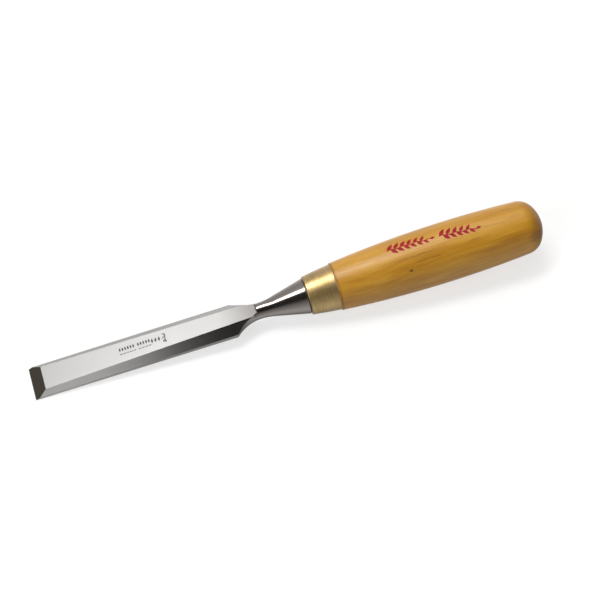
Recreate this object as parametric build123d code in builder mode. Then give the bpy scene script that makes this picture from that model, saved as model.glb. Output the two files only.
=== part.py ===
"""Bevel-edged bench chisel: forged steel blade, brass ferrule and turned boxwood handle.

Frame: the origin is the middle of the cutting edge, on the flat back of the blade.
+X runs along the tool to the butt of the handle, +Z points away from the flat back.
All sizes are in millimetres.
"""
from build123d import *
from math import acos, cos, degrees, radians, sin, sqrt, tan
import os

# ---------------------------------------------------------------- driving dimensions
# The neck, bolster, ferrule and handle are turned about one axis. It rises a little from
# the flat back towards the butt, which keeps the hand clear of the work.
AXIS_HEIGHT = 1.4  # height of the axis above the cutting edge
AXIS_RISE = 0.6  # slope of the axis in degrees

# Blade
BLADE_WIDTH = 19.05  # nominal 3/4 inch
BAR_END = 115.0  # the ground bar ends inside the neck
TIP_THICKNESS = 2.65  # thickness of the ground bar, carried to the cutting edge
NECK_THICKNESS = 5.61  # the same at the end of the bar
TIP_BEVEL_WIDTH = 2.55  # side bevel seen from above, carried to the cutting edge
NECK_BEVEL_WIDTH = 5.35  # the same at the end of the bar
SIDE_BEVEL_ANGLE = 33.2  # slope of the side bevels from the flat back
CUTTING_ANGLE = 25.0

# Neck, shoulders and bolster, all turned about the same axis
NECK_RADIUS = 4.0
WAIST = 114.5  # thinnest place of the neck
SHOULDER_SWEEP = 18.0  # radius of the hollow between the neck and the shoulders
UPRIGHT_END = 113.5  # the -Y shoulder stands upright above the axis, up to here
UPRIGHT_SWEEP = 3.8  # radius of the small hollow beside the face, where it ends
BOLSTER_SWEEP = 30.0  # radius of the hollow between the neck and the bolster
BOLSTER_ANGLE = 13.5  # slope of the bolster's cone
BOLSTER_END = 138.6
BOLSTER_RIM = 0.25  # rounding of the bolster's rear edge
FACE_RUN_OUT_START = 111.5  # where the slope up to the neck would meet the axis
FACE_RUN_OUT_ANGLE = 64.0  # steepness of that slope
TURNING_RADIUS = 12.0  # more than half the width of the blade
SHOULDER_CORNER = 0.6  # rounding where the side lands end at the shoulders

# Tang, square and tapered
TANG_END = 200.6
TANG_ROOT = 7.6
TANG_TIP = 3.6
SOCKET_CLEARANCE = 2.0  # free depth left in the handle past the tang

# Ferrule
FERRULE_START = 139.0
FERRULE_END = 153.5
FERRULE_FRONT_RADIUS = 9.55
FERRULE_REAR_RADIUS = 11.45
FERRULE_CROWN = 0.12  # how far the outside bulges
FERRULE_WALL = 1.1
FERRULE_FRONT_ROUND = 0.45
FERRULE_REAR_ROUND = 0.12

# Handle
SHOULDER_ROUND = 0.5  # rounding of the wood behind the ferrule
BELLY_PLACE = 211.0  # thickest place of the handle
BELLY_RADIUS = 14.66
BELLY_SWEEP = 590.0  # radius of the long curve along the handle
DOME_START = 253.7  # where the long curve meets the domed butt
DOME_BLEND = 9.2  # rounding between the two
BUTT_END = 260.0

# ---------------------------------------------------------------- shared geometry
turning_axis = Axis((0, 0, AXIS_HEIGHT), (cos(radians(AXIS_RISE)), 0, sin(radians(AXIS_RISE))))
# A half-profile drawn on this plane has its distance along the axis and its radius as
# its two coordinates.
turning_plane = Plane(origin=turning_axis.position, x_dir=turning_axis.direction, z_dir=(0, -1, 0))
# A plan drawn on this one is seen from above, with the axis along its middle.
plan_plane = Plane(
    origin=turning_axis.position,
    x_dir=turning_axis.direction,
    z_dir=(-sin(radians(AXIS_RISE)), 0, cos(radians(AXIS_RISE))),
)
ferrule_slope = (FERRULE_REAR_RADIUS - FERRULE_FRONT_RADIUS) / (FERRULE_END - FERRULE_START)


def blade_section(station):
    """Corners of the ground bar at a station: flat back, side lands, side bevels, face."""
    share = station / BAR_END
    thickness = TIP_THICKNESS + share * (NECK_THICKNESS - TIP_THICKNESS)
    bevel = TIP_BEVEL_WIDTH + share * (NECK_BEVEL_WIDTH - TIP_BEVEL_WIDTH)
    land = thickness - bevel * tan(radians(SIDE_BEVEL_ANGLE))
    half = BLADE_WIDTH / 2
    return [
        (-half, 0),
        (half, 0),
        (half, land),
        (half - bevel, thickness),
        (bevel - half, thickness),
        (-half, land),
    ]


def square_to_axis(station):
    """Plane square to the turned axis, at a distance along it."""
    return Plane(
        origin=turning_axis.position + turning_axis.direction * station,
        x_dir=(0, 1, 0),
        z_dir=turning_axis.direction,
    )


def shoulder_radius(station):
    """Radius of the hollow between the shoulders and the neck."""
    return NECK_RADIUS + SHOULDER_SWEEP - sqrt(SHOULDER_SWEEP**2 - (WAIST - station) ** 2)


def bore_radius(station):
    """Radius of the tapered fit between the ferrule and the handle's spigot."""
    return FERRULE_FRONT_RADIUS - FERRULE_WALL + (station - FERRULE_START) * ferrule_slope


def belly_radius(station):
    """Radius of the handle along its long curve."""
    return BELLY_RADIUS - BELLY_SWEEP + sqrt(BELLY_SWEEP**2 - (station - BELLY_PLACE) ** 2)


# ---------------------------------------------------------------- blade
# The hollow beside the shoulders starts outside the blade, at the turning radius.
shoulder_turn = degrees(acos(1 - (TURNING_RADIUS - NECK_RADIUS) / SHOULDER_SWEEP))
cone_start = WAIST + BOLSTER_SWEEP * sin(radians(BOLSTER_ANGLE))
cone_start_radius = NECK_RADIUS + BOLSTER_SWEEP * (1 - cos(radians(BOLSTER_ANGLE)))
bolster_radius = cone_start_radius + (BOLSTER_END - cone_start) * tan(radians(BOLSTER_ANGLE))
run_out_end = FACE_RUN_OUT_START + TURNING_RADIUS / tan(radians(FACE_RUN_OUT_ANGLE))

# Turned outline: full width along the blade, hollow shoulders, neck, bolster
with BuildSketch(turning_plane) as outline:
    with BuildLine():
        shoulders = CenterArc(
            (WAIST, NECK_RADIUS + SHOULDER_SWEEP), SHOULDER_SWEEP, -90, -shoulder_turn
        )
        swell = CenterArc(
            (WAIST, NECK_RADIUS + BOLSTER_SWEEP), BOLSTER_SWEEP, -90, BOLSTER_ANGLE
        )
        Polyline(
            swell @ 1,
            (BOLSTER_END, bolster_radius),
            (BOLSTER_END, 0),
            (-TURNING_RADIUS, 0),
            (-TURNING_RADIUS, TURNING_RADIUS),
            shoulders @ 1,
        )
    make_face()

# Neck and bolster. The neck rises out of the face in a short slope.
with BuildPart() as neck:
    with BuildSketch(turning_plane):
        with BuildLine():
            Polyline(
                (FACE_RUN_OUT_START, 0),
                (run_out_end, TURNING_RADIUS),
                (BOLSTER_END, TURNING_RADIUS),
                (BOLSTER_END, 0),
                close=True,
            )
        make_face()
    revolve(axis=turning_axis)
    revolve(outline.sketch, axis=turning_axis, mode=Mode.INTERSECT)

# Limits of the ground bar. Its sides follow the turned outline, except that above the
# axis the -Y shoulder stands upright, and a small hollow beside the face takes it down
# to the neck.
with BuildPart() as limits:
    with BuildSketch(plan_plane):
        mirror(outline.sketch_local, about=Plane.XZ)
    extrude(amount=TURNING_RADIUS)
    with BuildSketch(turning_plane):
        with BuildLine():
            hollow = CenterArc(
                (UPRIGHT_END, shoulder_radius(UPRIGHT_END) + UPRIGHT_SWEEP), UPRIGHT_SWEEP, -90, -90
            )
            Polyline(
                hollow @ 1,
                (UPRIGHT_END - UPRIGHT_SWEEP, TURNING_RADIUS),
                (-TURNING_RADIUS, TURNING_RADIUS),
                (-TURNING_RADIUS, 0),
                (UPRIGHT_END, 0),
                hollow @ 0,
            )
        make_face()
    revolve(axis=turning_axis, mode=Mode.INTERSECT)
    revolve(outline.sketch, axis=turning_axis)

with BuildPart() as blade:
    # Ground bar with planar side bevels, from the cutting edge to the neck
    for station in (0, BAR_END):
        with BuildSketch(Plane.YZ.offset(station)):
            with BuildLine():
                Polyline(*blade_section(station), close=True)
            make_face()
    loft(ruled=True)
    add(limits.part, mode=Mode.INTERSECT)
    add(neck.part)

    # Rounded corners where the side lands end
    lands = blade.faces().sort_by(Axis.Y)
    fillet([land.edges().sort_by(Axis.X)[-1] for land in (lands[0], lands[-1])], SHOULDER_CORNER)

    # Cutting bevel through the origin
    cutting_plane = Plane(
        origin=(0, 0, 0),
        x_dir=(0, 1, 0),
        z_dir=(-sin(radians(CUTTING_ANGLE)), 0, cos(radians(CUTTING_ANGLE))),
    )
    split(bisect_by=cutting_plane, keep=Keep.BOTTOM)

    # Rounded rear edge of the bolster
    fillet(blade.edges().filter_by(GeomType.CIRCLE).sort_by(Axis.X)[-1], BOLSTER_RIM)

    # Tang
    for station, side in ((BOLSTER_END, TANG_ROOT), (TANG_END, TANG_TIP)):
        with BuildSketch(square_to_axis(station)):
            Rectangle(side, side)
    loft(ruled=True)

# ---------------------------------------------------------------- ferrule
with BuildPart() as ferrule:
    with BuildSketch(turning_plane):
        with BuildLine():
            crown = SagittaArc(
                (FERRULE_START, FERRULE_FRONT_RADIUS),
                (FERRULE_END, FERRULE_REAR_RADIUS),
                FERRULE_CROWN,
            )
            Polyline(
                crown @ 1,
                (FERRULE_END, bore_radius(FERRULE_END)),
                (FERRULE_START, bore_radius(FERRULE_START)),
                crown @ 0,
            )
        make_face()
        fillet(vertices().sort_by_distance(crown @ 0)[0], FERRULE_FRONT_ROUND)
        fillet(vertices().sort_by_distance(crown @ 1)[0], FERRULE_REAR_ROUND)
    revolve(axis=turning_axis)

# ---------------------------------------------------------------- handle
# The dome's centre lies on the axis, and its curve passes through the end of the belly.
dome_edge = belly_radius(DOME_START)
dome_centre = (DOME_START**2 + dome_edge**2 - BUTT_END**2) / (2 * (DOME_START - BUTT_END))
dome_radius = BUTT_END - dome_centre

with BuildPart() as handle:
    with BuildSketch(turning_plane):
        with BuildLine():
            belly = ThreePointArc(
                (FERRULE_END, belly_radius(FERRULE_END)),
                (BELLY_PLACE, BELLY_RADIUS),
                (DOME_START, dome_edge),
            )
            dome = RadiusArc(belly @ 1, (BUTT_END, 0), dome_radius)
            Polyline(
                dome @ 1,
                (BOLSTER_END, 0),
                (BOLSTER_END, bore_radius(BOLSTER_END)),
                (FERRULE_END, bore_radius(FERRULE_END)),
                belly @ 0,
            )
        make_face()
        # Rounded wood behind the ferrule, and the blend into the domed butt
        fillet(vertices().sort_by_distance(belly @ 0)[0], SHOULDER_ROUND)
        fillet(vertices().sort_by_distance(belly @ 1)[0], DOME_BLEND)
    revolve(axis=turning_axis)

    # Socket with the tang's own taper, then free depth past its tip
    for station, side in ((BOLSTER_END, TANG_ROOT), (TANG_END, TANG_TIP)):
        with BuildSketch(square_to_axis(station)):
            Rectangle(side, side)
    loft(ruled=True, mode=Mode.SUBTRACT)
    with BuildSketch(square_to_axis(TANG_END)):
        Rectangle(TANG_TIP, TANG_TIP)
    extrude(amount=SOCKET_CLEARANCE, mode=Mode.SUBTRACT)

# ---------------------------------------------------------------- export
os.makedirs("parts", exist_ok=True)

blade.part.label = "blade"
export_step(blade.part, "parts/blade.step")

ferrule.part.label = "ferrule"
export_step(ferrule.part, "parts/ferrule.step")

handle.part.label = "handle"
export_step(handle.part, "parts/handle.step")
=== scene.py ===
"""Looks of the bevel-edge bench chisel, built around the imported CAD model.

Everything is in metres, in the frame of the CAD model: the origin is the middle of the
cutting edge, +X runs to the butt of the handle, +Z points away from the flat back.
"""
from math import cos, pi, radians, sin

import bpy
from mathutils import Matrix, Vector
from mathutils.bvhtree import BVHTree


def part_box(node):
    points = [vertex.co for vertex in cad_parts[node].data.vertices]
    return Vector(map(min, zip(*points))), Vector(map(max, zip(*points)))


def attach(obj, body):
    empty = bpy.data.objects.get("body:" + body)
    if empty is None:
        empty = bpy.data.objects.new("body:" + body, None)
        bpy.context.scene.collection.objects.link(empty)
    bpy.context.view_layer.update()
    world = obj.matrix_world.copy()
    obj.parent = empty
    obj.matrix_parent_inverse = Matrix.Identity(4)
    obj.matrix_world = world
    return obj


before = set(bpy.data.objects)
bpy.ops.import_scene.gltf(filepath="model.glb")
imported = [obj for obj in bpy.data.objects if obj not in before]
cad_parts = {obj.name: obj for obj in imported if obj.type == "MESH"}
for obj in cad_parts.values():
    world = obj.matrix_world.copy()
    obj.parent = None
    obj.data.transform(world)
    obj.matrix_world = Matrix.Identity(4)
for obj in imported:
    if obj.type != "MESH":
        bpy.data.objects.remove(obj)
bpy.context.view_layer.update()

MM = 0.001

# ---------------------------------------------------------------- camera
TARGET = Vector((135.2, -1.1, 2.75)) * MM
CAMERA_DISTANCE = 0.8278
CAMERA_AZIMUTH = radians(-8.13)
CAMERA_ELEVATION = radians(52.47)
CAMERA_ROLL = radians(10.80)
LENS = 102.23


def add_camera():
    """Camera that looks down at the chisel from the front, rolled a little."""
    back = Vector(
        (
            sin(CAMERA_AZIMUTH) * cos(CAMERA_ELEVATION),
            -cos(CAMERA_AZIMUTH) * cos(CAMERA_ELEVATION),
            sin(CAMERA_ELEVATION),
        )
    )
    level_right = Vector((cos(CAMERA_AZIMUTH), sin(CAMERA_AZIMUTH), 0))
    level_up = back.cross(level_right)
    right = cos(CAMERA_ROLL) * level_right - sin(CAMERA_ROLL) * level_up
    up = sin(CAMERA_ROLL) * level_right + cos(CAMERA_ROLL) * level_up
    data = bpy.data.cameras.new("camera")
    data.lens = LENS
    data.sensor_width = 36
    data.clip_end = 20
    camera = bpy.data.objects.new("camera", data)
    camera.matrix_world = Matrix.Translation(TARGET + CAMERA_DISTANCE * back) @ Matrix(
        (right, up, back)
    ).transposed().to_4x4()
    bpy.context.scene.collection.objects.link(camera)
    bpy.context.scene.camera = camera


# ---------------------------------------------------------------- node helpers
class Nodes:
    """Small helper that adds nodes to a tree and links them."""

    def __init__(self, tree):
        self.tree = tree

    def add(self, kind, **settings):
        node = self.tree.nodes.new(kind)
        for name, value in settings.items():
            setattr(node, name, value)
        return node

    def put(self, socket, value):
        """Links an output, or sets a plain value, on an input."""
        if isinstance(value, bpy.types.NodeSocket):
            self.tree.links.new(value, socket)
        else:
            socket.default_value = value

    def math(self, operation, a, b=0.0, clamp=False):
        node = self.add("ShaderNodeMath", operation=operation, use_clamp=clamp)
        self.put(node.inputs[0], a)
        self.put(node.inputs[1], b)
        return node.outputs[0]

    def ramp_to(self, value, low, high, to_low=0.0, to_high=1.0, smooth=True):
        """Maps a value from low..high to to_low..to_high, clamped."""
        kind = "SMOOTHSTEP" if smooth else "LINEAR"
        node = self.add("ShaderNodeMapRange", interpolation_type=kind)
        self.put(node.inputs["Value"], value)
        for name, number in (
            ("From Min", low), ("From Max", high), ("To Min", to_low), ("To Max", to_high),
        ):
            node.inputs[name].default_value = number
        return node.outputs[0]

    def mix(self, share, a, b, blend="MIX"):
        node = self.add("ShaderNodeMix", data_type="RGBA", blend_type=blend)
        self.put(node.inputs[0], share)
        self.put(node.inputs[6], a)
        self.put(node.inputs[7], b)
        return node.outputs[2]

    def number_mix(self, share, a, b):
        node = self.add("ShaderNodeMix", data_type="FLOAT")
        self.put(node.inputs[0], share)
        self.put(node.inputs[2], a)
        self.put(node.inputs[3], b)
        return node.outputs[0]

    def curve(self, value, stops):
        """Colour ramp through (place, grey or colour) stops."""
        node = self.add("ShaderNodeValToRGB")
        self.put(node.inputs[0], value)
        elements = node.color_ramp.elements
        for index, (place, colour) in enumerate(stops):
            if not isinstance(colour, tuple):
                colour = (colour, colour, colour)
            element = elements[index] if index < 2 else elements.new(place)
            element.position = place
            element.color = (*colour, 1)
        return node.outputs[0]

    def noise(self, vector, scale=1.0, detail=3.0, roughness=0.5, distortion=0.0):
        node = self.add("ShaderNodeTexNoise")
        self.put(node.inputs["Vector"], vector)
        node.inputs["Scale"].default_value = scale
        node.inputs["Detail"].default_value = detail
        node.inputs["Roughness"].default_value = roughness
        node.inputs["Distortion"].default_value = distortion
        return node.outputs[0]

    def millimetres(self):
        """Place on the object in millimetres, as a vector and as three numbers."""
        place = self.add("ShaderNodeTexCoord").outputs["Object"]
        node = self.add("ShaderNodeVectorMath", operation="SCALE")
        self.put(node.inputs[0], place)
        node.inputs["Scale"].default_value = 1 / MM
        split = self.add("ShaderNodeSeparateXYZ")
        self.put(split.inputs[0], node.outputs[0])
        return node.outputs[0], split.outputs

    def stretched(self, vector, x, y, z):
        node = self.add("ShaderNodeVectorMath", operation="MULTIPLY")
        self.put(node.inputs[0], vector)
        node.inputs[1].default_value = (x, y, z)
        return node.outputs[0]

    def combined(self, x, y, z):
        node = self.add("ShaderNodeCombineXYZ")
        for socket, value in zip(node.inputs, (x, y, z)):
            self.put(socket, value)
        return node.outputs[0]

    def bump(self, height, distance, strength, under=None):
        node = self.add("ShaderNodeBump")
        self.put(node.inputs["Height"], height)
        node.inputs["Distance"].default_value = distance
        node.inputs["Strength"].default_value = strength
        if under is not None:
            self.put(node.inputs["Normal"], under)
        return node.outputs[0]


def new_material(name):
    """New material with its node helper and the inputs of its shader."""
    material = bpy.data.materials.new(name)
    material.use_nodes = True
    tree = material.node_tree
    shader = next(n for n in tree.nodes if n.type == "BSDF_PRINCIPLED")
    return material, Nodes(tree), shader.inputs


def dress(node_name, material):
    """Gives a CAD node its finished material."""
    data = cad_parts[node_name].data
    if not data.materials:
        data.materials.append(material)
    for index in range(len(data.materials)):
        data.materials[index] = material


# ---------------------------------------------------------------- turned axis
def axis_from_frame():
    """The axis of the ferrule and handle: from the ferrule's middle to the butt."""
    low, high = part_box("ferrule")
    start = (low + high) / 2
    butt = max((v.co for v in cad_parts["handle"].data.vertices), key=lambda co: co.x)
    end = Vector(butt)
    end.y = 0
    along = (end - start).normalized()
    return start, along


AXIS_START, ALONG = axis_from_frame()
SIDE = Vector((0, 1, 0))
RISE = ALONG.cross(SIDE)


# ---------------------------------------------------------------- steel
# Stations along X, in millimetres
SHOULDERS = 100.6  # where the ground sides end
FACE_END = 113.0  # where the ground face ends, at the neck
CUTTING_BEVEL_END = 8.0
TURNED_RELIEF = 0.12  # height of the turning marks against that of the grinding marks
STEEL_RELIEF = 0.00001


def steel_material():
    """Ground face, bevels and lands, with polished shoulders, neck and bolster."""
    material, n, shader = new_material("ground_and_polished_steel")
    place, (x, _, _) = n.millimetres()
    normal = n.add("ShaderNodeSeparateXYZ")
    n.put(normal.inputs[0], n.add("ShaderNodeNewGeometry").outputs["True Normal"])
    # The face, side bevels and lands are ground; the shoulders, neck and bolster polished
    before_shoulders = n.ramp_to(x, SHOULDERS, SHOULDERS + 0.2, 1, 0)
    facing_up = n.math(
        "MULTIPLY",
        n.ramp_to(normal.outputs[2], 0.78, 0.8),
        n.ramp_to(x, FACE_END - 0.1, FACE_END, 1, 0),
    )
    ground = n.math("MAXIMUM", before_shoulders, facing_up)

    along_lines = n.noise(n.stretched(place, 0.03, 4.0, 4.0), detail=4, roughness=0.6)
    fine_lines = n.noise(n.stretched(place, 0.12, 14.0, 14.0), detail=2, roughness=0.5)
    across_lines = n.noise(n.stretched(place, 5.0, 0.08, 0.08), detail=3, roughness=0.6)
    smudges = n.noise(n.stretched(place, 0.05, 0.11, 0.11), detail=2)

    # The side bevels are ground matt at the tip and finer towards the shoulders; the
    # face is even, and the cutting bevel is honed
    is_face = n.ramp_to(normal.outputs[2], 0.95, 0.97)
    is_honed = n.math(
        "MULTIPLY",
        n.ramp_to(normal.outputs[0], -0.3, -0.25, 1, 0),
        n.ramp_to(x, CUTTING_BEVEL_END, CUTTING_BEVEL_END + 1, 1, 0),
    )
    matt = n.number_mix(is_face, n.ramp_to(x, 32, 100, 0.60, 0.17, smooth=False), 0.37)
    matt = n.math("ADD", matt, n.math("MULTIPLY", n.math("SUBTRACT", smudges, 0.5), 0.05))
    matt = n.number_mix(is_honed, matt, 0.15)
    polished = n.math("ADD", 0.08, n.math("MULTIPLY", across_lines, 0.05))
    n.put(shader["Roughness"], n.number_mix(ground, polished, matt))

    lines = n.math("ADD", n.math("MULTIPLY", along_lines, 0.7), n.math("MULTIPLY", fine_lines, 0.3))
    tone = n.curve(lines, [(0.3, (0.43, 0.42, 0.413)), (0.7, (0.50, 0.488, 0.479))])
    # Painted shade: the ground steel is painted darker towards the shoulders
    tone = n.mix(n.ramp_to(x, 10, 98, 0.0, 0.5), tone, (0.25, 0.242, 0.236, 1))
    # Painted light and shade: the ground face is painted lighter along the middle of its length,
    # darker at the tip and much darker at the neck end
    face_painted_light = n.curve(
        n.ramp_to(x, 0, 115, smooth=False),
        [
            (0.05, (0.356, 0.353, 0.353)),
            (0.40, (0.435, 0.432, 0.432)),
            (0.62, (0.465, 0.462, 0.462)),
            (0.82, (0.462, 0.455, 0.450)),
            (0.97, (0.275, 0.267, 0.260)),
        ],
    )
    tone = n.mix(n.math("MULTIPLY", is_face, ground), tone, face_painted_light)
    is_land = n.ramp_to(n.math("ABSOLUTE", normal.outputs[1]), 0.85, 0.9)
    # Painted shade: the side lands are painted darker towards the shoulders
    land_painted_shade = n.math("MULTIPLY", is_land, n.ramp_to(x, 15, 75, 0.0, 0.5))
    tone = n.mix(land_painted_shade, tone, (0.12, 0.115, 0.11, 1))
    tone = n.mix(is_honed, tone, (0.265, 0.225, 0.19, 1))
    turned = n.curve(across_lines, [(0.3, (0.285, 0.257, 0.240)), (0.7, (0.315, 0.284, 0.266))])
    tone = n.mix(ground, turned, tone)
    near_neck = n.math("MULTIPLY", n.ramp_to(x, 103, 112), n.ramp_to(across_lines, 0.4, 0.62))
    tone = n.mix(n.math("MULTIPLY", near_neck, 0.25), tone, (0.2, 0.19, 0.18, 1))
    # Painted shade: the little step at the end of the face is painted nearly black
    step_painted_shade = n.math("MULTIPLY", n.ramp_to(x, 111.6, 112.2), n.ramp_to(x, 113.6, 114.2, 1, 0))
    step_painted_shade = n.math("MULTIPLY", step_painted_shade, n.ramp_to(normal.outputs[0], -0.8, -0.5, 1, 0))
    tone = n.mix(n.math("MULTIPLY", step_painted_shade, 0.7), tone, (0.05, 0.045, 0.04, 1))
    n.put(shader["Base Color"], tone)
    shader["Metallic"].default_value = 1.0
    ground_height = n.math("MULTIPLY", lines, ground)
    turned_height = n.math("MULTIPLY", across_lines, n.math("SUBTRACT", 1.0, ground))
    turned_height = n.math("MULTIPLY", turned_height, TURNED_RELIEF)
    height = n.math("ADD", ground_height, turned_height)
    n.put(shader["Normal"], n.bump(height, STEEL_RELIEF, 0.35))
    return material


# ---------------------------------------------------------------- brass
BRASS_RELIEF = 0.00001


def brass_material():
    """Lightly tarnished brass with fine and coarse turning marks."""
    material, n, shader = new_material("turned_brass")
    place, _ = n.millimetres()
    lathe = n.noise(n.stretched(place, 7.0, 0.12, 0.12), detail=3, roughness=0.6)
    coarse = n.noise(n.stretched(place, 1.3, 0.1, 0.1), detail=2)
    tarnish = n.noise(n.stretched(place, 0.12, 0.16, 0.16), detail=4, roughness=0.6)
    tone = n.curve(tarnish, [(0.35, (0.46, 0.315, 0.12)), (0.65, (0.57, 0.41, 0.19))])
    tone = n.mix(n.math("MULTIPLY", lathe, 0.4), tone, (0.23, 0.15, 0.045, 1))
    tone = n.mix(n.ramp_to(coarse, 0.42, 0.66, 0.0, 0.3), tone, (0.23, 0.15, 0.045, 1))
    n.put(shader["Base Color"], tone)
    shader["Metallic"].default_value = 1.0
    rough = n.math("ADD", 0.34, n.math("MULTIPLY", coarse, 0.14))
    n.put(shader["Roughness"], rough)
    shader["Coat Weight"].default_value = 0.5
    shader["Coat Roughness"].default_value = 0.3
    n.put(shader["Normal"], n.bump(lathe, BRASS_RELIEF, 0.3))
    return material


# ---------------------------------------------------------------- boxwood
# Darker streaks in the grain: distance along X and angle from the top towards -Y, with
# their half-length in millimetres, half-width in degrees and strength.
STREAKS = (
    (196, 27, 16, 3.0, 0.6),
    (200, 40, 12, 1.8, 0.85),
    (226, 31, 7, 1.8, 1.0),
    (219, 35, 14, 2.4, 0.35),
    (243, -14, 5, 2.5, 0.55),
    (248, -24, 6, 3.0, 0.6),
    (246, 8, 3, 4.0, 0.4),
    (170, 62, 22, 5.0, 0.25),
    (236, 60, 24, 6.0, 0.3),
    (205, 196, 25, 4.0, 0.5),
    (232, 150, 20, 4.0, 0.4),
    (180, 250, 18, 3.0, 0.5),
    (215, 290, 22, 4.0, 0.45),
    (190, 120, 26, 4.0, 0.35),
)
# Painted shade low on the near side of the butt
BUTT_PAINTED_SHADE = (253.5, 66, 4.5, 17, 0.35)
KNOT = (189.6, 52.5, 1.3, 3.4, 0.9)


GRAIN_SWAY = 5.0  # millimetres that the grain wanders across the handle
WOOD_RELIEF = 0.00003
# Height in millimetres of the handle's axis at X = 0, and its slope
HANDLE_AXIS_HEIGHT = 1.4
HANDLE_AXIS_SLOPE = 0.0105
BEHIND_FERRULE = 153.6
BUTT_DARKENING_START = 249.5
BUTT_DARKENING_END = 259.0


def boxwood_material():
    """Varnished wood with lengthwise grain, darker streaks, a knot and a darker butt."""
    material, n, shader = new_material("varnished_boxwood")
    place, (x, y, z) = n.millimetres()
    axis_height = n.math("ADD", n.math("MULTIPLY", x, HANDLE_AXIS_SLOPE), HANDLE_AXIS_HEIGHT)
    height = n.math("SUBTRACT", z, axis_height)
    turn = n.math("ARCTAN2", n.math("MULTIPLY", y, -1.0), height)
    turn = n.math("MULTIPLY", turn, 180 / pi)

    # The grain wanders a little across the handle
    sway = n.noise(n.stretched(place, 0.018, 0.05, 0.05), detail=1)
    sway = n.math("MULTIPLY", n.math("SUBTRACT", sway, 0.5), GRAIN_SWAY)
    swayed_z = n.math("ADD", z, n.math("MULTIPLY", sway, 0.6))
    grain_place = n.combined(x, n.math("ADD", y, sway), swayed_z)
    broad = n.noise(n.stretched(grain_place, 0.022, 0.20, 0.20), detail=3, roughness=0.55)
    middle = n.noise(n.stretched(grain_place, 0.045, 0.9, 0.9), detail=3, roughness=0.55)
    fibres = n.noise(n.stretched(grain_place, 0.22, 6.0, 6.0), detail=2, roughness=0.6)
    grain = n.math("ADD", n.math("MULTIPLY", broad, 0.55), n.math("MULTIPLY", middle, 0.33))
    grain = n.math("ADD", grain, n.math("MULTIPLY", fibres, 0.12))
    tone = n.curve(
        grain,
        [
            (0.36, (0.385, 0.160, 0.005)),
            (0.48, (0.475, 0.220, 0.010)),
            (0.60, (0.545, 0.275, 0.022)),
        ],
    )

    def patch(at, angle, half_length, half_width, strength):
        """Soft spot on the handle, fading out along and around it."""
        a = n.math("DIVIDE", n.math("SUBTRACT", x, at), half_length)
        b = n.math("SUBTRACT", turn, angle)
        if angle > 180:
            b = n.math("SUBTRACT", turn, angle - 360)
        b = n.math("DIVIDE", b, half_width)
        squares = n.math("ADD", n.math("MULTIPLY", a, a), n.math("MULTIPLY", b, b))
        return n.math("MULTIPLY", n.ramp_to(squares, 0.0, 1.0, 1.0, 0.0), strength)

    streaks = 0.0
    for streak in STREAKS:
        streaks = n.math("MAXIMUM", streaks, patch(*streak))
    ragged = n.ramp_to(n.noise(n.stretched(grain_place, 0.2, 3.0, 3.0), detail=2), 0.35, 0.62)
    streaks = n.math("MULTIPLY", streaks, ragged)
    tone = n.mix(streaks, tone, (0.22, 0.085, 0.012, 1))
    tone = n.mix(patch(*KNOT), tone, (0.07, 0.03, 0.010, 1))
    # The wood is darker, unevenly, over the last few millimetres towards the butt; the patch low on
    # the near side of the butt is painted shade
    near_butt = n.ramp_to(x, BUTT_DARKENING_START, BUTT_DARKENING_END)
    butt = n.math("MULTIPLY", near_butt, n.ramp_to(middle, 0.3, 0.7, 0.30, 0.55))
    tone = n.mix(butt, tone, (0.27, 0.10, 0.010, 1))
    # Painted shade: a darker patch low on the near side of the butt
    tone = n.mix(patch(*BUTT_PAINTED_SHADE), tone, (0.16, 0.06, 0.010, 1))
    # Painted shade: the wood is painted darker in the corner just behind the ferrule
    corner_painted_shade = n.math(
        "MULTIPLY",
        n.ramp_to(x, BEHIND_FERRULE - 0.4, BEHIND_FERRULE),
        n.ramp_to(x, BEHIND_FERRULE + 0.6, BEHIND_FERRULE + 1.3, 0.5, 0.0),
    )
    tone = n.mix(corner_painted_shade, tone, (0.10, 0.042, 0.008, 1))
    # Painted shade: the wood in the narrow gap behind the bolster is painted nearly black
    tone = n.mix(n.ramp_to(x, 139.6, 140.2, 0.93, 0.0), tone, (0.012, 0.009, 0.007, 1))
    n.put(shader["Base Color"], tone)
    n.put(shader["Roughness"], n.math("ADD", 0.42, n.math("MULTIPLY", middle, 0.12)))
    shader["Specular IOR Level"].default_value = 0.35
    shader["Coat Weight"].default_value = 0.45
    shader["Coat Roughness"].default_value = 0.34
    n.put(shader["Normal"], n.bump(n.math("ADD", fibres, middle), WOOD_RELIEF, 0.25))
    return material


# ---------------------------------------------------------------- marks
def etched_material():
    """Dark, dull etched steel."""
    material, n, shader = new_material("etched_mark")
    place, _ = n.millimetres()
    speckle = n.noise(n.stretched(place, 6, 6, 6), detail=3)
    tone = n.curve(speckle, [(0.35, (0.045, 0.043, 0.043)), (0.7, (0.10, 0.095, 0.095))])
    n.put(shader["Base Color"], tone)
    n.put(shader["Roughness"], n.math("ADD", 0.5, n.math("MULTIPLY", speckle, 0.2)))
    shader["Metallic"].default_value = 0.6
    return material


def red_paint_material():
    """Thin, slightly worn dark red paint."""
    material, n, shader = new_material("red_stamped_paint")
    place, _ = n.millimetres()
    wear = n.noise(n.stretched(place, 0.9, 1.6, 1.6), detail=4, roughness=0.6)
    tone = n.curve(wear, [(0.38, (0.27, 0.002, 0.009)), (0.68, (0.38, 0.008, 0.020))])
    n.put(shader["Base Color"], tone)
    n.put(shader["Roughness"], n.math("ADD", 0.5, n.math("MULTIPLY", wear, 0.15)))
    shader["Specular IOR Level"].default_value = 0.25
    return material


def surface_of(node_name):
    """Ray caster against a CAD node."""
    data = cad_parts[node_name].data
    return BVHTree.FromPolygons([v.co for v in data.vertices], [p.vertices for p in data.polygons])


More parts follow.
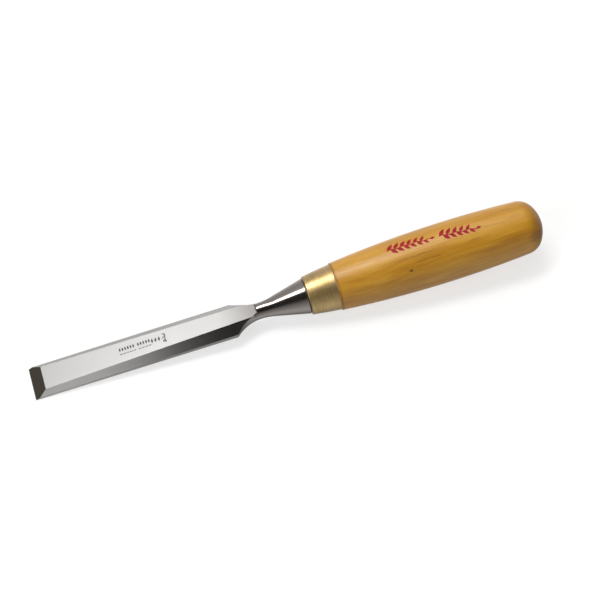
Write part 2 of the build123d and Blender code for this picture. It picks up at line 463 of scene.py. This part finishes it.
FILM = 0.02 * MM  # how far a mark stands proud of the surface
SUNK = 0.04 * MM  # and how far it reaches below it
REACH = 40 * MM  # start of the rays, well outside the chisel


def on_face(surface):
    """Places (along, across) millimetres of the blade's face on its surface."""

    def spot(u, v):
        hit, normal, _, _ = surface.ray_cast(Vector((u * MM, v * MM, REACH)), Vector((0, 0, -1)))
        return hit, normal

    return spot


def on_handle(surface, radius):
    """Places (along X, arc length towards +Y) millimetres round the handle on its surface."""
    start_x = AXIS_START.x / MM

    def spot(u, v):
        angle = v / radius
        outward = RISE * cos(angle) + SIDE * sin(angle)
        centre = AXIS_START + ALONG * ((u - start_x) * MM)
        hit, normal, _, _ = surface.ray_cast(centre + outward * REACH, -outward)
        return hit, normal

    return spot


def film_mesh(name, strokes, spot, material):
    """One thin solid piece per stroke, laid on a surface. A stroke is a list of
    (u, v, width) along its middle line; its ends are closed."""
    vertices = []
    faces = []
    for stroke in strokes:
        first = len(vertices)
        count = len(stroke)
        for index, (u, v, width) in enumerate(stroke):
            before = stroke[max(index - 1, 0)]
            after = stroke[min(index + 1, count - 1)]
            du, dv = after[0] - before[0], after[1] - before[1]
            size = (du * du + dv * dv) ** 0.5
            su, sv = -dv / size * width / 2, du / size * width / 2
            for share in (1, 0, -1):
                hit, normal = spot(u + share * su, v + share * sv)
                vertices.append(hit + normal * FILM)
                vertices.append(hit - normal * SUNK)
        # Each station has six corners: top and bottom, at the left, middle and right
        for index in range(count - 1):
            a = first + 6 * index
            b = a + 6
            for left in (0, 2):
                faces.append((a + left, b + left, b + left + 2, a + left + 2))
                faces.append((a + left + 1, a + left + 3, b + left + 3, b + left + 1))
            faces.append((a, a + 1, b + 1, b))
            faces.append((a + 4, b + 4, b + 5, a + 5))
        last = first + 6 * (count - 1)
        for a, flip in ((first, False), (last, True)):
            for ring in ((a, a + 2, a + 3, a + 1), (a + 2, a + 4, a + 5, a + 3)):
                faces.append(tuple(reversed(ring)) if flip else ring)
    data = bpy.data.meshes.new(name)
    data.from_pydata(vertices, [], faces)
    data.materials.append(material)
    data.validate()
    data.update()
    piece = bpy.data.objects.new(name, data)
    bpy.context.scene.collection.objects.link(piece)
    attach(piece, "root")
    return piece


def bar(u, v, length, width, angle=0.0):
    """Straight stroke of constant width, centred at (u, v)."""
    du, dv = cos(radians(angle)) * length / 2, sin(radians(angle)) * length / 2
    return [(u - du, v - dv, width), (u, v, width), (u + du, v + dv, width)]


def lozenge(u, v, length, width, angle=0.0):
    """Diamond with its long way at an angle, centred at (u, v)."""
    steps = 6
    stroke = []
    for index in range(steps + 1):
        share = index / steps * 2 - 1
        stroke.append(
            (
                u + cos(radians(angle)) * share * length / 2,
                v + sin(radians(angle)) * share * length / 2,
                max(width * (1 - abs(share)), 0.02),
            )
        )
    return stroke


def arc(u, v, radius_u, radius_v, start, sweep, width, steps=12):
    """Part of an ellipse about (u, v), angles in degrees from +u."""
    stroke = []
    for index in range(steps + 1):
        angle = radians(start + sweep * index / steps)
        stroke.append((u + radius_u * cos(angle), v + radius_v * sin(angle), width))
    return stroke


BEAD_PITCH = 1.36  # of the beads etched along the blade
DASH_PITCH = 1.7  # of the dashes below them
LOZENGE_PITCH = 1.75  # of the larger lozenges beside them
SIZE_FIGURE_PLACE = 66.9
SIZE_FIGURE_STROKE = 0.46


def add_etched_marks(material):
    """Plain ornament, and a figure 3/4 for the width that the blade is drawn at."""
    spot = on_face(surface_of("blade"))
    ornament = []
    for start, count in ((44.8, 6), (54.0, 5)):
        for index in range(count):
            u = start + index * BEAD_PITCH
            ornament.append(bar(u, 1.45, 1.75, 0.55, 90))
            ornament.append(lozenge(u, 1.45, 2.3, 1.0, 90))
    for start, count in ((45.0, 5), (54.4, 4)):
        for index in range(count):
            ornament.append(bar(start + index * DASH_PITCH, -1.3, 1.35, 0.45))
    for index in range(3):
        u = 60.9 + index * LOZENGE_PITCH
        ornament.append(lozenge(u, 0.7, 3.0, 1.15, 85))
        ornament.append(bar(u, 0.7, 1.9, 0.34, 85))
    film_mesh("etched_ornament", ornament, spot, material)

    width = SIZE_FIGURE_STROKE
    u = SIZE_FIGURE_PLACE
    figures = [
        arc(u, 2.35, 0.66, 0.5, 150, -235, width),
        arc(u, 1.35, 0.70, 0.55, 85, -235, width),
        bar(u, 0.25, 2.2, 0.28),
        [(u + 0.35, -0.35, width), (u - 0.3, -1.1, width), (u - 0.8, -1.72, width)],
        bar(u + 0.05, -1.78, 1.85, width * 0.9),
        bar(u + 0.4, -1.45, 2.1, width, 90),
    ]
    film_mesh("etched_size_figure", figures, spot, material)


LEAF_PITCH = 3.3  # of the pairs of leaves along the painted sprays
HANDLE_RADIUS = 14.5  # at the sprays, in millimetres
STEM_STEPS = 40


def leaf(u, v, length, width, angle):
    """Leaf with one pointed end at (u, v), broadest a third of the way along."""
    steps = 8
    stroke = []
    for index in range(steps + 1):
        share = index / steps
        reach = share * length
        stroke.append(
            (
                u + cos(radians(angle)) * reach,
                v + sin(radians(angle)) * reach,
                max(width * sin(pi * share**0.75), 0.04),
            )
        )
    return stroke


def add_handle_ornament(material):
    """Two sprays of leaves in red paint along the top of the handle."""
    spot = on_handle(surface_of("handle"), HANDLE_RADIUS)

    def middle(u):
        """The sprays run slightly downhill towards the butt."""
        return 0.4 - 3.2 * ((u - 181.0) / 46.0) ** 1.5

    strokes = []
    for start, pairs in ((181.4, 6), (207.6, 5)):
        end = start + pairs * LEAF_PITCH + 2.4
        stem = []
        for index in range(STEM_STEPS + 1):
            u = start + (end - start) * index / STEM_STEPS
            stem.append((u, middle(u) + 0.35 * sin((u - start) / LEAF_PITCH * pi), 0.55))
        strokes.append(stem)
        for index in range(pairs):
            u = start + 0.5 + index * LEAF_PITCH
            size = 1.5 - 0.45 * index / pairs
            strokes.append(leaf(u, middle(u), 3.3 * size, 1.4 * size, 50))
            strokes.append(leaf(u + LEAF_PITCH / 2, middle(u), 2.9 * size, 1.3 * size, -46))
        strokes.append(leaf(end - 0.3, middle(end), 2.6, 1.4, 4))
    film_mesh("handle_spray", strokes, spot, material)


# ---------------------------------------------------------------- floor and light
FLOOR_HALF = 10.0  # metres
FLOOR_MIDDLE = 0.13
FLOOR_GAP = 0.00005  # left between the floor and the chisel
FLOOR_GLOW = 0.68
SOFTBOX = 12.5  # strength of the long soft light
SIDE_WALL = 3.7  # strength of the pale wall at the left


def add_floor():
    """Pale floor that touches the cutting edge and the underside of the handle."""
    slope = min(
        v.co.z / v.co.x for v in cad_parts["handle"].data.vertices if v.co.x > 0.1
    )
    data = bpy.data.meshes.new("floor")
    corners = []
    for side_x, side_y in ((-1, -1), (1, -1), (1, 1), (-1, 1)):
        corner_x = FLOOR_MIDDLE + side_x * FLOOR_HALF
        corners.append((corner_x, side_y * FLOOR_HALF, slope * corner_x - FLOOR_GAP))
    data.from_pydata(corners, [], [(0, 1, 2, 3)])
    floor = bpy.data.objects.new("floor", data)
    material, n, shader = new_material("pale_floor")
    place, _ = n.millimetres()
    tone = n.noise(n.stretched(place, 0.002, 0.002, 0.002), detail=1)
    n.put(shader["Base Color"], n.curve(tone, [(0.3, 0.30), (0.7, 0.32)]))
    shader["Emission Color"].default_value = (1, 1, 1, 1)
    shader["Emission Strength"].default_value = FLOOR_GLOW
    shader["Roughness"].default_value = 0.9
    shader["Specular IOR Level"].default_value = 0.1
    data.materials.append(material)
    # Only the camera sees the sheet itself: the sky's lower half stands for its glow
    floor.visible_diffuse = False
    floor.visible_glossy = False
    floor.visible_shadow = False
    bpy.context.scene.collection.objects.link(floor)


def degrees_to_place(angle):
    """Place on the sky's ramp of an angle from straight up towards -Y, in degrees."""
    return angle / 360 + 0.5


def add_sky():
    """Studio surroundings: a long soft light above, paler walls low down, dark between."""
    world = bpy.data.worlds.new("studio")
    bpy.context.scene.world = world
    world.use_nodes = True
    tree = world.node_tree
    n = Nodes(tree)
    background = next(node for node in tree.nodes if node.type == "BACKGROUND")
    split = n.add("ShaderNodeSeparateXYZ")
    n.put(split.inputs[0], n.add("ShaderNodeTexCoord").outputs["Generated"])
    x, y, z = split.outputs
    angle = n.math("ARCTAN2", n.math("MULTIPLY", y, -1.0), z)
    place = n.math("ADD", n.math("DIVIDE", angle, 2 * pi), 0.5)
    walls = n.curve(
        place,
        [
            (degrees_to_place(-180), 0.30),
            (degrees_to_place(-150), 0.75),
            (degrees_to_place(-110), 1.14),
            (degrees_to_place(-92), 0.80),
            (degrees_to_place(-60), 0.66),
            (degrees_to_place(-36), 0.75),
            (degrees_to_place(2), 0.50),
            (degrees_to_place(12), 0.06),
            (degrees_to_place(48), 0.035),
            (degrees_to_place(64), 0.20),
            (degrees_to_place(76), 0.38),
            (degrees_to_place(94), 0.55),
            (degrees_to_place(125), 0.90),
            (degrees_to_place(142), 0.86),
            (degrees_to_place(160), 0.55),
            (degrees_to_place(180), 0.30),
        ],
    )
    left_dark = n.ramp_to(x, -0.60, -0.42, 0.3, 1.0)
    right_dark = n.ramp_to(x, 0.35, 0.75, 1.0, 0.6)
    walls = n.math("MULTIPLY", n.math("MULTIPLY", walls, left_dark), right_dark)
    # The soft light is turned a little in plan
    skew = n.ramp_to(x, -0.35, -0.10, -3 / 360, 5 / 360, smooth=False)
    light = n.curve(
        n.math("ADD", place, skew),
        [
            (degrees_to_place(-23), 0.0),
            (degrees_to_place(-16), 1.0),
            (degrees_to_place(-7), 1.0),
            (degrees_to_place(1), 0.0),
        ],
    )
    window = n.math("MULTIPLY", n.ramp_to(x, -0.50, -0.42), n.ramp_to(x, 0.04, 0.24, 1.0, 0.0))
    light = n.math("MULTIPLY", n.math("MULTIPLY", light, window), SOFTBOX)
    # Paler wall at the left, which lifts the matt end of the near bevel
    card = n.math(
        "MULTIPLY", n.ramp_to(x, -0.56, -0.50, SIDE_WALL, 0.0), n.ramp_to(angle, 0.1, 0.3)
    )
    card = n.math("MULTIPLY", card, n.ramp_to(angle, 0.9, 1.2, 1.0, 0.0))
    total = n.math("ADD", n.math("ADD", walls, light), card)
    n.put(background.inputs["Strength"], total)
    background.inputs["Color"].default_value = (1.0, 0.995, 0.985, 1)


add_camera()
dress("blade", steel_material())
dress("ferrule", brass_material())
dress("handle", boxwood_material())
add_etched_marks(etched_material())
add_handle_ornament(red_paint_material())
add_floor()
add_sky()
bpy.context.scene.view_settings.view_transform = "Standard"
